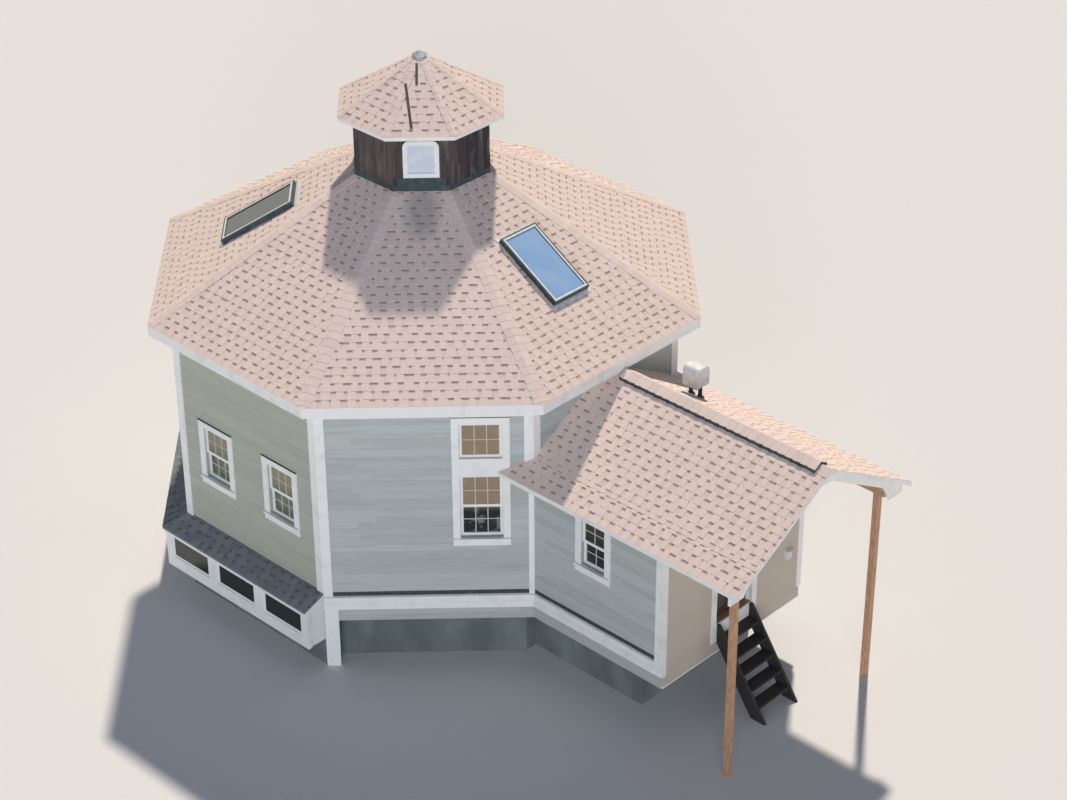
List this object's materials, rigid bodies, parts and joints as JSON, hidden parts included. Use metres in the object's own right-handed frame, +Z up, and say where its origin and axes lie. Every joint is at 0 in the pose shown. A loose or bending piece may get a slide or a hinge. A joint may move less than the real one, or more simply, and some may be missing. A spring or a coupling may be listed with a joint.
{
  "type": "octagonal house with roof cupola",
  "caption": "Timber octagon house with a windowed cupola on a shingled roof, skylights, a pent roof over basement windows and a gabled entry wing with porch and stair.",
  "frame": {"origin": "on the lowest ground, under the peak of the octagon's roof, in the plane of the foundation's underside", "axes": "+Z up, -Y the way the entry wing and its porch point, +X to the right of someone who looks along +Y"},
  "size_m": [8.941, 12.985, 9.0609],
  "materials": {
    "siding": "satin",
    "white_paint": "satin",
    "shingles": "matte",
    "concrete": "matte",
    "floor_boards": "satin",
    "stained_boards": "matte",
    "post_wood": "matte",
    "door_paint": "satin",
    "window_glass": "gloss",
    "skylight_glass": "gloss",
    "cupola_glass": "gloss",
    "flashing": "satin",
    "bare_metal": "satin",
    "vent_paint": "satin"
  },
  "bodies": {
    "house": {"basement_slab": "concrete", "foundation_square_sides": "concrete", "foundation_corner_sides": "concrete", "main_floor": "floor_boards", "wall_front_sides": "siding", "wall_front_top": "siding", "wall_front_left": "siding", "wall_front_right": "siding", "wall_left": "siding", "wall_right": "siding", "wall_back_left": "siding", "wall_back_right": "siding", "wall_back": "siding", "corner_boards": "white_paint", "band_boards": "white_paint", "frieze_boards": "white_paint", "eave_soffit": "white_paint", "eave_fascia": "white_paint", "roof_square_slopes": "shingles", "roof_corner_slopes": "shingles", "hip_caps": "shingles", "window_boards": "white_paint", "window_sashes": "white_paint", "window_glass": "window_glass", "basement_window_frames": "white_paint", "basement_panels": "white_paint", "pent_roof": "shingles", "pent_boards": "white_paint", "skylight_frames": "flashing", "skylight_glass": "skylight_glass", "cupola_flashing": "flashing", "cupola_square_walls": "stained_boards", "cupola_corner_walls": "stained_boards", "cupola_window_frames": "white_paint", "cupola_glass": "cupola_glass", "cupola_soffit": "stained_boards", "cupola_roof": "shingles", "cupola_cap": "bare_metal", "wing_foundation_sides": "concrete", "wing_foundation_front": "concrete", "wing_beams": "concrete", "wing_floor": "floor_boards", "wing_side_walls": "siding", "wing_front_sides": "siding", "wing_front_top": "siding", "wing_band": "white_paint", "wing_roof_left": "shingles", "wing_roof_right": "shingles", "wing_fascias": "white_paint", "ridge_vent": "flashing", "gable_arch": "white_paint", "porch_posts": "post_wood", "porch_beams": "post_wood", "door_frame": "white_paint", "stair_stringers": "door_paint", "stair_treads": "door_paint", "roof_vent": "vent_paint", "wall_box": "vent_paint"},
    "door": {"entry_door": "door_paint", "door_hardware": "bare_metal"}
  },
  "joints": [
    {"name": "entry_door_hinge", "type": "hinge", "parent": "house", "child": "door", "pos_m": [0.449, -6.642, 1.456], "axis": [0, 0, -1], "range_deg": [0, 100]}
  ]
}
